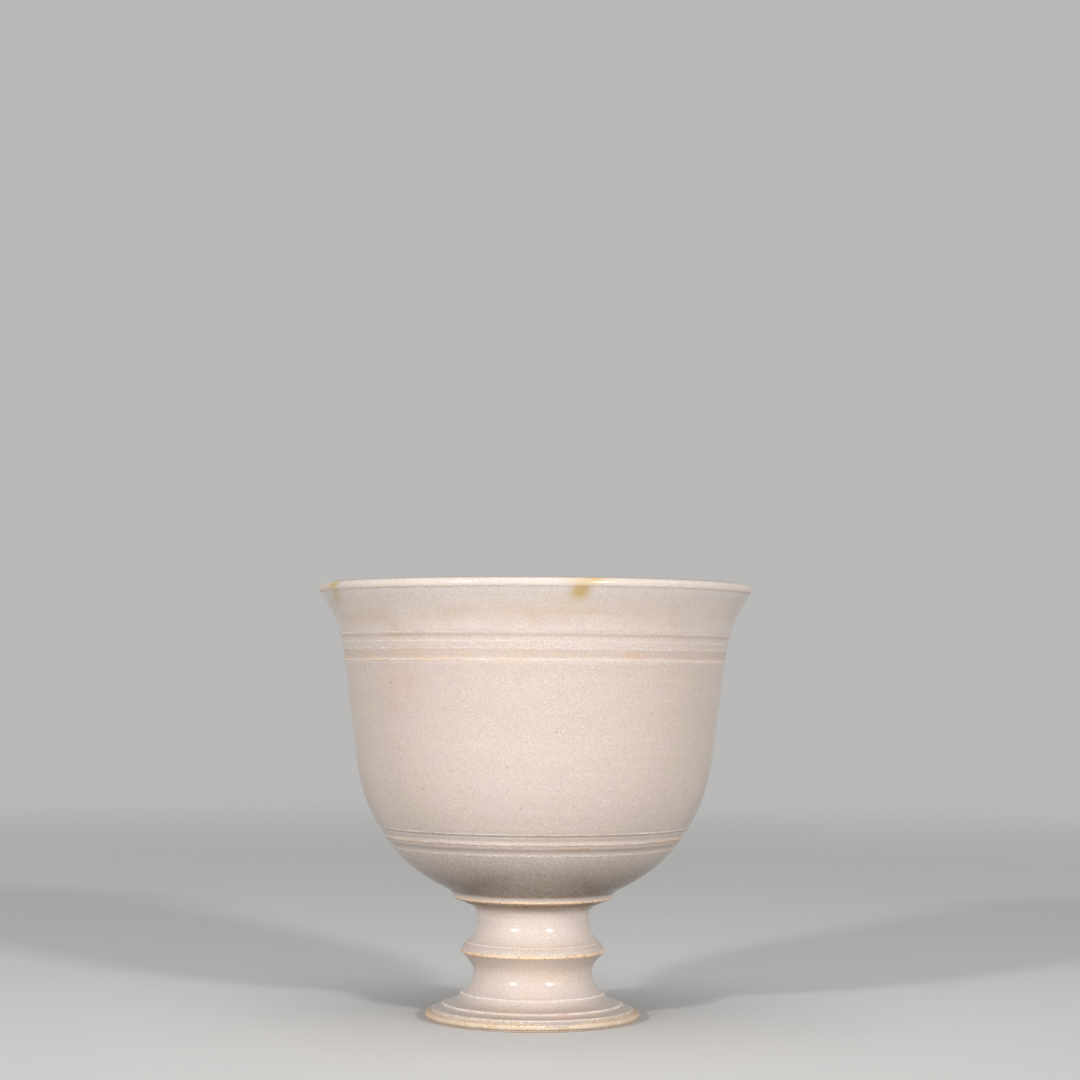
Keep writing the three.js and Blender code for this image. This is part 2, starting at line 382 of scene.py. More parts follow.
STEM_POOLS_AND_SHADE = [
    # painted shade on the stem under the collar
    ("top", -0.3, "top", 0.7, 1.0, 1.0),
    ("top", 0.7, "top", 2.7, 0.9, 0.0),
    ("knop_line", 0.2, "knop", 0.0, 0.12, 0.05),
    ("knop_under", 0.3, "knop_under", 5.5, 0.15, 0.05),
    ("upper_step", 0.3, "lower_step", -0.3, 0.17, 0.17),
    ("lower_step", 0.3, "glaze_line", -0.2, 0.45, 0.35),
]

# Bands of thin pale glaze and of painted light, which lighten the lip and the flare, the shade under the
# keel's top arris, and the upper neck as a painted sheen
BOWL_THIN_AND_LIT = [
    # a lighter lip and flare, partly thin glaze and partly painted light
    ("lip", -3.5, "lip", 0.6, 0.15, 0.2),
    ("lip", 0.6, "lip", 2.6, 0.6, 0.3),
    ("lip", 2.6, "belt_crease_top", -0.3, 0.25, 0.25),
    # painted light in the shade under the keel's top arris
    ("keel_groove_top", 0.6, "keel_groove_top", 1.2, 0.15, 0.1),
]
STEM_THIN_AND_LIT = [
    # painted sheen on the upper neck
    ("top", 3.4, "knop_line", -0.8, 0.1, 0.1),
    ("knop_under", 5.5, "upper_step", 0.0, 0.0, 0.1),
]

# Bands of granular glaze
BOWL_GRAINY = [
    ("belt_crease_low", 0.2, "belt_groove_top", 0.1, 0.3, 0.8),
    ("belt_groove_low", -0.1, "belt_groove_low", 1.2, 0.9, 0.0),
    ("keel_groove_low", 0.2, "keel_crease_top", 0.0, 1.0, 0.8),
    ("keel_groove_top", 0.3, "keel_groove_low", -0.1, 0.25, 0.35),
    ("keel_crease_low", -0.3, "keel_crease_low", 3.5, 1.1, 0.8),
    ("keel_crease_low", 3.5, "collar", -1.2, 0.8, 0.5),
    ("collar", -1.2, "collar", 0.2, 0.2, 0.9),
]
STEM_GRAINY = [
    ("knop_line", 0.2, "knop", 0.6, 0.4, 0.9),
    ("lower_step", 0.8, "glaze_line", 0.6, 0.2, 1.0),
]

# Bands of less glossy glaze, whose strength is added to the roughness
BOWL_MATT = [
    ("belt_groove_top", -0.1, "belt_groove_low", 0.3, 0.25, 0.4),
]
STEM_MATT = [
    ("knop_line", 0.0, "knop_under", 0.2, 0.3, 0.3),
]

# Glaze that fills a corner or stands up at an arris: arris, shift down, half width and height in mm
BOWL_FILLS = [
    ("lip", 0.0, 0.3, -0.06),
    ("lip", 0.4, 0.38, 0.07),
    ("belt_crease_top", 0.35, 0.36, 0.09),
    ("belt_crease_low", 0.0, 0.6, 0.05),
    ("belt_groove_top", 0.05, 0.3, -0.04),
    ("belt_groove_top", 0.7, 0.42, 0.11),
    ("belt_groove_low", -0.6, 0.4, 0.03),
    ("keel_groove_top", 0.25, 0.25, 0.05),
    ("keel_groove_top", 1.05, 0.6, 0.17),
    ("keel_crease_top", 0.5, 0.35, 0.08),
]
STEM_FILLS = [
    ("upper_step", -0.25, 0.2, 0.05),
    ("lower_step", -0.15, 0.2, 0.05),
    ("roll_top", 0.0, 0.34, 0.13),
    ("foot_edge", 0.5, 0.26, 0.09),
]

# Stains under the glaze, and two bands of painted shade: kind, angle in degrees, height in mm, half sizes in
# degrees and mm, strength
STAIN_KINDS = ("tan", "rust", "ochre")
BOWL_STAINS = [
    ("ochre", -65, 83.8, 2.2, 0.6, 1.4),
    ("ochre", -63, 84.0, 3.8, 0.6, 0.35),
    ("ochre", -64.5, 82.2, 2.6, 0.9, 0.9),
    ("ochre", -67.5, 80.9, 2.8, 0.9, 0.5),
    ("rust", -69, 83.3, 4.0, 0.5, 0.7),
    ("ochre", 13.5, 84.0, 4.5, 0.8, 0.8),
    ("ochre", 11.8, 82.1, 2.4, 1.0, 0.9),
    ("ochre", 11.2, 80.9, 2.6, 1.0, 0.45),
    ("ochre", 170, 83.0, 5.0, 1.2, 0.6),
    # painted shade all round in the belt groove and the belt crease
    ("tan", 0, 70.2, 400.0, 0.75, 0.4),
    ("tan", 0, 73.6, 400.0, 0.55, 0.15),
    ("tan", -42, 73.8, 5.5, 0.45, 1.1),
    ("tan", -41, 75.2, 3.0, 1.2, 0.8),
    ("tan", -40, 71.0, 6.5, 1.6, 0.5),
    ("tan", -48, 77.2, 6.0, 1.6, 0.5),
    ("tan", -60, 77.2, 10.0, 1.5, 0.6),
    ("tan", -27, 77.0, 9.0, 1.6, 0.4),
    ("tan", 2, 77.5, 20.0, 2.2, 0.35),
    ("tan", 0, 77.8, 70.0, 2.4, 0.3),
    ("tan", 32, 78.3, 16.0, 1.1, 0.35),
    ("tan", 44, 75.9, 16.0, 1.0, 0.3),
    ("tan", 118, 76.0, 16.0, 3.0, 0.5),
    ("tan", -140, 58.0, 12.0, 8.0, 0.35),
    ("rust", 29, 70.2, 3.0, 0.8, 0.9),
    ("rust", -42, 65.8, 6.5, 3.4, 0.5),
    ("rust", -46, 60.5, 2.5, 1.6, 0.5),
    ("rust", 100, 50.0, 5.0, 4.0, 0.35),
    ("tan", 10, 36.2, 10.0, 1.0, 0.5),
    ("rust", 0, 35.15, 400.0, 0.4, 0.55),
]
STEM_STAINS = [
    ("tan", 14, 9.6, 20.0, 1.3, 0.7),
    ("rust", 21, 2.7, 8.5, 0.5, 0.9),
    ("tan", -150, 8.0, 24.0, 1.6, 0.6),
    ("ochre", 55, 1.8, 22.0, 0.6, 0.2),
    ("ochre", -62, 1.3, 20.0, 0.5, 0.2),
]

# Changes round the cup: a long cell varies little along the outline
LONG_CELL = 60 * MM
LONGER_CELL = 80 * MM
WANDER_CELL = 40 * MM
NO_LINE_GAP = 9.0
NO_LINE_HALF = 0.1
RUST_EDGE = (0.6, 1.1)
MOST_RUST = 1.4
BAND_EDGE = 0.12 * MM


def draw_lines(surface, lines, rust, fades):
    """Fields for the bright lines: gap to the nearest one, its half width, rust, strength and dots."""
    gap = surface.flat(NO_LINE_GAP)
    half = surface.flat(NO_LINE_HALF)
    tint = surface.flat()
    strength = surface.flat()
    dots = surface.flat()
    for name, (width, share, power, shift, broken) in lines.items():
        wander = surface.noise(WANDER_CELL, 9, most=0.03) + surface.noise(WANDER_CELL, 3, most=0.03)
        here = np.abs(surface.beyond(name, shift * MM) / MM + wander)
        nearer = here < gap
        patch = share * (1 + surface.noise(LONG_CELL, 11, most=0.3))
        for line, middle, reach, extra in rust:
            if line == name:
                patch = patch + extra * (1 - smooth_step(*RUST_EDGE, surface.turn_gap(middle) / reach))
        gap = np.where(nearer, here, gap)
        half = np.where(nearer, width * (1 + surface.noise(LONG_CELL, 5, most=0.35)), half)
        tint = np.where(nearer, patch, tint)
        dots = np.where(nearer, broken, dots)
        clusters = np.clip(0.6 + surface.noise(LONG_CELL, 2.4, most=2.2), 0, 1)
        power = power * (1 + surface.noise(LONG_CELL, 14, most=0.25)) * (1 - broken ** 2 * (1 - clusters))
        for line, middle, reach, lost in fades:
            if line == name:
                power = power * (1 - lost * np.exp(-(surface.turn_gap(middle) / reach) ** 2))
        strength = np.where(nearer, power, strength)
    surface.fields.update(line_gap=gap, line_half=half, line_dots=dots)
    surface.fields["line_rust"] = np.clip(tint, 0, MOST_RUST)
    surface.fields["line_strength"] = np.clip(strength, 0, 1)


def draw_bands(surface, field, bands):
    """A field that is the strongest of the bands at each place, with soft edges."""
    level = surface.flat()
    for first, first_shift, last, last_shift, start, end in bands:
        low = surface.outline.place[first] + first_shift * MM
        high = surface.outline.place[last] + last_shift * MM
        part = (surface.along - low) / (high - low)
        band = start + (end - start) * np.clip(part, 0, 1)
        soft = BAND_EDGE / abs(high - low)
        band = band * smooth_step(-soft, soft, part) * (1 - smooth_step(1 - 3 * soft, 1 + soft, part))
        level = np.maximum(level, band[:, None] * (1 + surface.noise(LONG_CELL, 20, most=0.2)))
    surface.fields[field] = level


def draw_stains(surface, stains, outside):
    """A field for each kind of stain, as soft rough-edged patches on the outside."""
    for kind in STAIN_KINDS:
        field = surface.flat()
        for stain, turn, level, turn_size, size, power in stains:
            if stain != kind:
                continue
            away = (surface.turn_gap(turn) / turn_size) ** 2 + ((surface.height / MM - level) / size) ** 2
            field += power * np.exp(-away)
        rough = 1 + surface.noise(2.2 * MM, 4, most=0.5) + surface.noise(1.1 * MM, 2, most=0.3)
        surface.fields[kind] = np.clip(field * rough, 0, 1) * outside


GRIT_REACH = 0.45  # in mm on each side of a line
GRIT_BARE = 0.1  # how much of the noise leaves no pit


def grit(surface, depth):
    """Small pits and chips along the arrises."""
    near = np.exp(-(surface.fields["line_gap"] / GRIT_REACH) ** 2)
    pits = surface.noise(0.5 * MM, 0.9) + surface.noise(0.3 * MM, 1.6, most=0.5)
    return depth * near * np.clip(pits - GRIT_BARE, 0, 1)


def turning_rings(surface, fine_depth, fine_cell, broad_depth, broad_cell):
    """Faint rings left by the throwing."""
    fine = fine_depth * (1 + surface.noise(fine_cell, 120))
    return fine + broad_depth * (1 + surface.noise(broad_cell, 60))


def filled(surface, fills):
    """How far the glaze stands up over the clay."""
    rise = 0.0
    for name, shift, width, height in fills:
        rise = rise + height * MM * np.exp(-(surface.beyond(name, shift * MM) / (width * MM)) ** 2)
    return rise


# Unevenness of the bowl: pits at the lip, and a rim that is slightly oval, wavy and lower on the left
LIP_PIT_REACH = 1.6 * MM
LIP_PIT_DEPTH = 0.12 * MM
LIP_PIT_BARE = 0.55
BOWL_GRIT = 0.07 * MM
OVAL_FROM = 40 * MM
RIM_FROM = 78 * MM
RIM_TOP = 84 * MM
OVAL = 0.0012
OVAL_PHASE = 0.6
WAVE = 0.03 * MM
WAVE_PHASE = 1.1
TILT = 0.12 * MM


def warp_rim(surface):
    turn = np.radians(surface.angle)[None, :]
    raised = smooth_step(OVAL_FROM, RIM_TOP, surface.height)
    surface.radius *= 1 - OVAL * raised * (1 + np.cos(2 * turn + OVAL_PHASE))
    rim = smooth_step(RIM_FROM, RIM_TOP, surface.height)
    surface.height -= rim * (WAVE * (1 + np.cos(3 * turn + WAVE_PHASE)) + TILT * (1 - np.sin(turn)))


def make_bowl_piece(outline):
    lip = outline.place["lip"]

    def spacing(here):
        return HIDDEN_SPACING if here < lip - SHOWN_INSIDE else BOWL_SPACING

    shown = [name for name in BOWL_ARRISES if name not in BOWL_HIDDEN]
    surface = Surface(outline, outline.stations(spacing, shown), BOWL_SEGMENTS, BOWL_SEED)
    outside = smooth_step(lip - 3 * MM, lip - 1 * MM, surface.along)[:, None]
    draw_lines(surface, BOWL_LINES, BOWL_RUST, BOWL_FADES)
    draw_bands(surface, "pool_and_shade", BOWL_POOLS_AND_SHADE)
    draw_bands(surface, "thin", BOWL_THIN_AND_LIT)
    draw_bands(surface, "grainy", BOWL_GRAINY)
    draw_bands(surface, "matt", BOWL_MATT)
    draw_stains(surface, BOWL_STAINS, outside)
    surface.fields["bare"] = np.where(surface.past("base", 0.5 * MM), 1.0, -9.0) + surface.flat()
    near_lip = np.exp(-(surface.beyond("lip") / LIP_PIT_REACH) ** 2)
    lip_pits = LIP_PIT_DEPTH * near_lip * np.clip(surface.noise(0.9 * MM, 1.3) - LIP_PIT_BARE, 0, 1)
    depth = turning_rings(surface, 0.012 * MM, 1.7 * MM, 0.02 * MM, 5 * MM) + lip_pits
    depth += grit(surface, BOWL_GRIT) - filled(surface, BOWL_FILLS)
    surface.push(np.where(surface.past("collar", 0.2 * MM), 0.0, depth))
    warp_rim(surface)
    return surface.object("bowl_turned")


# The foot's ragged border between glaze and bare clay, which a run of glaze crosses at the front
BORDER_SHIFT = 0.35 * MM
RUN_LENGTH = 1.5 * MM
RUN_TURN = 15
RUN_REACH = 12
HOLLOW_GLAZE = 3.5 * MM  # where the glaze starts again inside the hollow
STEM_GRIT = 0.08 * MM
GLAZE_EDGE = 0.07 * MM
CLAY_RELIEF = 0.03 * MM


def make_stem_piece():
    outline = Outline("stem_foot", STEM_ARRISES)
    top = outline.place["top"]

    def spacing(here):
        hidden = here < top - 1 * MM or here > outline.place["rest_inner"] + SHOWN_INSIDE
        return HIDDEN_SPACING if hidden else STEM_SPACING

    shown = [name for name in STEM_ARRISES if name not in STEM_HIDDEN]
    surface = Surface(outline, outline.stations(spacing, shown), STEM_SEGMENTS, STEM_SEED)
    outside = smooth_step(top - 1 * MM, top, surface.along)[:, None] * ~surface.past("rest_outer")
    draw_lines(surface, STEM_LINES, STEM_RUST, STEM_FADES)
    draw_bands(surface, "pool_and_shade", STEM_POOLS_AND_SHADE)
    draw_bands(surface, "thin", STEM_THIN_AND_LIT)
    draw_bands(surface, "grainy", STEM_GRAINY)
    draw_bands(surface, "matt", STEM_MATT)
    draw_stains(surface, STEM_STAINS, outside)
    ragged = surface.noise(LONGER_CELL, 16, most=0.3 * MM) + surface.noise(0.8 * MM, 5, most=0.25 * MM)
    run = RUN_LENGTH * np.exp(-(surface.turn_gap(RUN_TURN) / RUN_REACH) ** 2)
    bare = surface.beyond("glaze_line", BORDER_SHIFT) - ragged - run
    hollow = surface.beyond("rest_inner", HOLLOW_GLAZE) - surface.noise(LONGER_CELL, 30, most=1.2 * MM)
    bare = np.minimum(bare, -hollow)
    surface.fields["bare"] = bare / MM
    edge = GLAZE_EDGE * smooth_step(-0.05 * MM, 0.12 * MM, bare)
    clay = CLAY_RELIEF * smooth_step(0, 0.1 * MM, bare) * (1 + surface.noise(0.5 * MM, 1.5))
    depth = turning_rings(surface, 0.008 * MM, 1.3 * MM, 0.015 * MM, 4 * MM) + edge + clay
    depth += grit(surface, STEM_GRIT) - filled(surface, STEM_FILLS)
    rests = surface.past("rest_outer", -0.3 * MM) & ~surface.past("rest_inner")
    seated = rests | ~surface.past("top", 0.3 * MM)
    surface.push(np.where(seated, 0.0, depth))
    return surface.object("stem_foot_turned")


SLIP_RELIEF = 0.1 * MM
SLIP_EDGE = 0.05 * MM


def make_slip_piece():
    outline = Outline("luting_slip", SLIP_ARRISES)
    stations = outline.stations(lambda here: SLIP_SPACING, SLIP_SHOWN)
    surface = Surface(outline, stations, STEM_SEGMENTS, SLIP_SEED)
    draw_lines(surface, SLIP_LINES, [], [])
    shown = surface.past("rim_top", SLIP_EDGE) & ~surface.past("rim_low", -SLIP_EDGE)
    surface.push(np.where(shown, SLIP_RELIEF * (1 + surface.noise(0.4 * MM, 2.0)), 0.0))
    return surface.object("luting_slip_turned")


class Shader:
    """Builds a node tree with short calls. Places in it are in millimetres."""

    def __init__(self, name):
        self.material = bpy.data.materials.new(name)
        self.material.use_nodes = True
        self.tree = self.material.node_tree
        self.tree.nodes.clear()
        coordinates = self.tree.nodes.new("ShaderNodeTexCoord")
        scaled = self.tree.nodes.new("ShaderNodeVectorMath")
        scaled.operation = "SCALE"
        scaled.inputs["Scale"].default_value = 1 / MM
        self.tree.links.new(coordinates.outputs["Object"], scaled.inputs[0])
        self.place = scaled.outputs[0]

    def put(self, value, socket):
        if isinstance(value, bpy.types.NodeSocket):
            self.tree.links.new(value, socket)
        elif socket.type == "RGBA" and len(value) == 3:
            socket.default_value = (*value, 1)
        else:
            socket.default_value = value

    def math(self, operation, first, second=0.0, third=0.0, clamp=False):
        node = self.tree.nodes.new("ShaderNodeMath")
        node.operation = operation
        node.use_clamp = clamp
        for value, socket in zip((first, second, third), node.inputs):
            self.put(value, socket)
        return node.outputs[0]

    def add(self, *parts):
        total = parts[0]
        for part in parts[1:]:
            total = self.math("ADD", total, part)
        return total

    def times(self, *parts):
        total = parts[0]
        for part in parts[1:]:
            total = self.math("MULTIPLY", total, part)
        return total

    def vector(self, operation, first, second):
        node = self.tree.nodes.new("ShaderNodeVectorMath")
        node.operation = operation
        self.put(first, node.inputs[0])
        self.put(second, node.inputs["Scale"] if operation == "SCALE" else node.inputs[1])
        return node.outputs["Value"] if operation in ("DOT_PRODUCT", "DISTANCE") else node.outputs[0]

    def field(self, name):
        node = self.tree.nodes.new("ShaderNodeAttribute")
        node.attribute_name = name
        return node.outputs["Fac"]

    def level(self):
        """Height above the floor in mm."""
        node = self.tree.nodes.new("ShaderNodeSeparateXYZ")
        self.put(self.place, node.inputs[0])
        return node.outputs["Z"]

    def range(self, value, low, high, to_low=0.0, to_high=1.0):
        node = self.tree.nodes.new("ShaderNodeMapRange")
        node.interpolation_type = "SMOOTHSTEP"
        for item, socket in zip((value, low, high, to_low, to_high), node.inputs):
            self.put(item, socket)
        return node.outputs[0]

    def noise(self, size, detail=2.0, stretch=(1, 1, 1)):
        """Noise from about 0 to 1 with features of the given size in mm."""
        node = self.tree.nodes.new("ShaderNodeTexNoise")
        node.inputs["Scale"].default_value = 1 / size
        node.inputs["Detail"].default_value = detail
        self.put(self.vector("MULTIPLY", self.place, stretch), node.inputs["Vector"])
        return node.outputs["Fac"]

    def patches(self, size, detail, low, high):
        """Ragged patches: 0 where the noise is under the low level, and 1 where it is over the high one."""
        return self.range(self.noise(size, detail), low, high)

    def specks(self, cell, radius, share):
        """Round specks, one to a cell of the given size in mm, in a share of the cells."""
        node = self.tree.nodes.new("ShaderNodeTexVoronoi")
        node.inputs["Scale"].default_value = 1 / cell
        self.put(self.place, node.inputs["Vector"])
        chosen = self.tree.nodes.new("ShaderNodeSeparateColor")
        self.put(node.outputs["Color"], chosen.inputs[0])
        size = self.range(chosen.outputs[1], 0.0, 1.0, 0.5 * radius / cell, 1.3 * radius / cell)
        near = self.math("LESS_THAN", node.outputs["Distance"], size)
        return self.times(near, self.math("LESS_THAN", chosen.outputs[0], share))

    def spot(self, centre, size):
        """A round mark at one place on the surface."""
        return self.range(self.vector("DISTANCE", self.place, centre), 0.6 * size, size, 1.0, 0.0)

    def stroke(self, first, last, half_width):
        """A straight mark between two places on the surface."""
        span = [b - a for a, b in zip(first, last)]
        from_first = self.vector("SUBTRACT", self.place, first)
        along = self.vector("DOT_PRODUCT", from_first, [c / sum(d * d for d in span) for c in span])
        along = self.math("MULTIPLY", along, 1.0, clamp=True)
        gap = self.vector("DISTANCE", from_first, self.vector("SCALE", span, along))
        return self.range(gap, 0.6 * half_width, 1.4 * half_width, 1.0, 0.0)

    def grey(self, value):
        node = self.tree.nodes.new("ShaderNodeCombineColor")
        for socket in node.inputs:
            self.put(value, socket)
        return node.outputs[0]

    def mix(self, share, first, second, blend="MIX"):
        node = self.tree.nodes.new("ShaderNodeMix")
        node.data_type = "RGBA"
        node.blend_type = blend
        self.put(share, node.inputs[0])
        self.put(first, node.inputs[6])
        self.put(second, node.inputs[7])
        return node.outputs[2]

    def tinted(self, colour, tint, *shares):
        """The colour with a tint mixed in, by the product of the shares."""
        return self.mix(self.times(*shares), colour, tint)

    def finish(self, colour, roughness, height):
        """The material, with a relief in mm."""
        bump = self.tree.nodes.new("ShaderNodeBump")
        bump.inputs["Strength"].default_value = 1.0
        bump.inputs["Distance"].default_value = MM
        self.put(height, bump.inputs["Height"])
        surface = self.tree.nodes.new("ShaderNodeBsdfPrincipled")
        self.put(colour, surface.inputs["Base Color"])
        self.put(roughness, surface.inputs["Roughness"])
        self.put(bump.outputs[0], surface.inputs["Normal"])
        self.surface = surface.outputs[0]
        self.output = self.tree.nodes.new("ShaderNodeOutputMaterial")
        self.put(self.surface, self.output.inputs["Surface"])
        return self.material


# Colours are linear
GLAZE_WARM = (0.716, 0.6, 0.513)
GLAZE_COOL = (0.71, 0.59, 0.532)
# Pooled glaze, dark enough to paint the shade under the belly and the collar
GLAZE_POOLED_AND_SHADE = (0.315, 0.238, 0.177)
# Thin pale glaze, also the colour of the painted light in the thin bands
GLAZE_THIN_AND_LIT = (0.94, 0.87, 0.81)
SPECK_DARK = (0.33, 0.26, 0.2)
SPECK_LIGHT = (0.95, 0.9, 0.84)
# Near-white flecks: pale glaze, and painted sparkle and highlight in the lines and the granular glaze
FLECK_AND_SPARKLE = (1.0, 0.95, 0.88)
RUST_LINE = (0.95, 0.65, 0.4)
RUST_DARK = (0.42, 0.23, 0.11)
STAIN_COLOURS = {"tan": (0.64, 0.45, 0.3), "rust": (0.68, 0.44, 0.33), "ochre": (0.62, 0.44, 0.17)}
STAIN_MOST = {"tan": 0.5, "rust": 0.6, "ochre": 0.95}
SLIP_BROWN = (0.4, 0.26, 0.16)
CLAY_PALE = (0.74, 0.585, 0.44)
CLAY_YELLOW = (0.69, 0.5, 0.325)
CLAY_PINK = (0.74, 0.52, 0.41)

# Sizes of the glaze's features in mm
CLOUD = 7
MOTTLE = 2.4
GRAIN = 0.55
FINE = 0.24
FINEST = 0.13
TURNING_MARK = 1.1
RING_STRETCH = (0.05, 0.05, 1)

# How much each feature changes the glaze's shade
MOTTLE_SHADE = 0.05
GRAIN_SHADE = 0.07
TURNING_SHADE = 0.08
FINE_SHADE = 0.4
FINEST_SHADE = 0.95

# Specks: cell and radius in mm, and share of the cells that hold one
DARK_SPECKS = (1.5, 0.12, 0.35)
FAINT_SPECKS = (0.5, 0.08, 0.5)
LIGHT_SPECKS = (1.3, 0.1, 0.35)
# near-white grains as painted sparkle on the granular glaze
BRIGHT_GRAINS_AND_SPARKLES = (0.6, 0.1, 0.35)
LINE_CRUMBS = (0.45, 0.17, 0.5)
CLAY_CRUMBS = (0.45, 0.12, 0.3)
EDGE_CRUMBS = (0.5, 0.12, 0.4)
SLIP_CRUMBS = (0.5, 0.16, 0.5)

# Dark pits of the front wall: angle in degrees, height and size in mm
PIT_SHARE = 0.42
BOWL_PITS = [
    (-47, 64.9, 0.42),
    (-4, 42.2, 0.3),
    (13, 42.6, 0.28),
    (-8, 49.8, 0.26),
    (6.5, 56.2, 0.3),
    (-26, 49.0, 0.3),
    (-37, 45.4, 0.28),
]

# Scratches and hairs: colour, half width in mm and share, then the angle and height of each point
PALE_SCRATCH = (0.97, 0.93, 0.87)
BROWN_HAIR = (0.45, 0.3, 0.18)
ORANGE_RUN = (0.62, 0.36, 0.18)
BOWL_STROKES = [
    (PALE_SCRATCH, 0.09, 1.0, [(-41, 78.0), (-37.2, 78.2), (-34.2, 78.15), (-32.2, 77.6)]),
    (BROWN_HAIR, 0.11, 0.7, [(-59, 68.1), (-60.2, 67.5), (-59.4, 66.7)]),
    (PALE_SCRATCH, 0.1, 0.9, [(-58.8, 67.8), (-59.2, 67.2)]),
    (ORANGE_RUN, 0.2, 0.7, [(9.0, 34.5), (14.0, 34.4), (21.0, 34.6)]),
]


class Glaze(Shader):
    """A thin speckled glaze with its lines, stains and marks, and the bare clay where it stops."""

    def __init__(self, name, shade, grain_share):
        super().__init__(name)
        self.mottle = self.noise(MOTTLE, 3)
        self.grain = self.noise(GRAIN, 3)
        self.fine = self.noise(FINE, 2)
        self.ragged = self.add(self.grain, self.fine, -1.0)
        self.dark = self.specks(*DARK_SPECKS)
        self.colour = self.body(shade, grain_share)
        self.speckle()
        self.stain()
        self.draw_thin_lines()

    def body(self, shade, grain_share):
        cloud = self.noise(CLOUD, 3, (1, 1, 1.4))
        turned = self.noise(TURNING_MARK, 2, RING_STRETCH)
        tone = self.range(self.add(cloud, self.times(self.mottle, 0.5)), 0.6, 0.9)
        colour = self.mix(tone, GLAZE_WARM, GLAZE_COOL)
        # Pooled glaze and painted shade, then thin pale glaze and painted light
        colour = self.tinted(colour, GLAZE_POOLED_AND_SHADE, self.field("pool_and_shade"))
        colour = self.tinted(colour, GLAZE_THIN_AND_LIT, self.field("thin"))
        for feature, change in (
            (self.mottle, MOTTLE_SHADE),
            (self.grain, GRAIN_SHADE),
            (turned, TURNING_SHADE),
            (self.fine, FINE_SHADE * grain_share),
            (self.noise(FINEST, 1), FINEST_SHADE * grain_share),
        ):
            shade = self.add(shade, self.times(feature, change))
        return self.mix(1.0, colour, self.grey(shade), "MULTIPLY")

    def speckle(self):
        """Specks everywhere, and hollows and grains where the glaze is granular, with near-white grains there
        as painted sparkle.
        """
        grainy = self.field("grainy")
        hollows = self.patches(0.31, 2, 0.52, 0.66)
        grains = self.patches(0.26, 2, 0.52, 0.64)
        self.colour = self.tinted(self.colour, SPECK_DARK, self.specks(*FAINT_SPECKS), 0.34)
        self.colour = self.tinted(self.colour, SPECK_DARK, self.dark, 0.52)
        self.colour = self.tinted(self.colour, SPECK_LIGHT, self.specks(*LIGHT_SPECKS), 0.55)
        self.colour = self.tinted(self.colour, SPECK_DARK, hollows, grainy, 0.3)
        self.colour = self.tinted(self.colour, GLAZE_THIN_AND_LIT, grains, grainy, 0.6)
        self.colour = self.tinted(self.colour, FLECK_AND_SPARKLE, self.specks(*BRIGHT_GRAINS_AND_SPARKLES), grainy, 0.8)

    def stain(self):
        for kind in STAIN_KINDS:
            most = STAIN_MOST[kind]
            share = self.times(self.field(kind), self.add(self.times(self.grain, 1.2), 0.4), most)
            self.colour = self.tinted(self.colour, STAIN_COLOURS[kind], self.math("MINIMUM", share, most))

    def draw_thin_lines(self):
        """Lines where the glaze is thin over an arris, pale or rusty and broken into dots, with near-white
        flecks as painted highlight.
        """
        away = self.add(self.field("line_gap"), self.times(self.ragged, 0.6))
        self.inside = self.range(self.math("DIVIDE", away, self.field("line_half")), 0.7, 1.2, 1.0, 0.0)
        broken = self.range(self.add(self.times(self.mottle, 0.6), self.grain), 0.55, 0.85, 0.62, 1.0)
        gaps = self.math("SUBTRACT", self.patches(0.7, 1, 0.48, 0.6), 1.0)
        dots = self.math("MULTIPLY_ADD", gaps, self.field("line_dots"), 1.0)
        self.line = self.times(self.inside, broken, dots, self.field("line_strength"))
        rusty = self.field("line_rust")
        rust = self.range(self.add(rusty, self.times(self.grain, 0.5)), 0.2, 1.15)
        crumbs = self.times(self.specks(*LINE_CRUMBS), self.range(rusty, 0.1, 0.8, 0.2, 1.0))
        flecks = self.times(self.patches(0.3, 1, 0.48, 0.6), self.math("MULTIPLY_ADD", rust, -0.75, 0.95))
        tint = self.mix(rust, GLAZE_THIN_AND_LIT, RUST_LINE)
        tint = self.tinted(tint, RUST_DARK, crumbs, 0.85)
        tint = self.tinted(tint, FLECK_AND_SPARKLE, flecks)
        self.colour = self.tinted(self.colour, tint, self.line)

    def mark(self, outline, pits, strokes):
        """Single pits and scratches on the outer wall of an outline."""
        wall = outline.points[outline.along > outline.place["lip"]] / MM

        def on_wall(turn, height):
            radius = np.interp(height, wall[::-1, 1], wall[::-1, 0])
            turn = math.radians(turn)
            return radius * math.sin(turn), -radius * math.cos(turn), height

        for turn, height, size in pits:
            pit = self.spot(on_wall(turn, height), size)
            self.colour = self.tinted(self.colour, SPECK_DARK, pit, PIT_SHARE)
        for tint, half_width, share, points in strokes:
            for first, last in zip(points[:-1], points[1:]):
                stroke = self.stroke(on_wall(*first), on_wall(*last), half_width)
                self.colour = self.tinted(self.colour, tint, stroke, share)

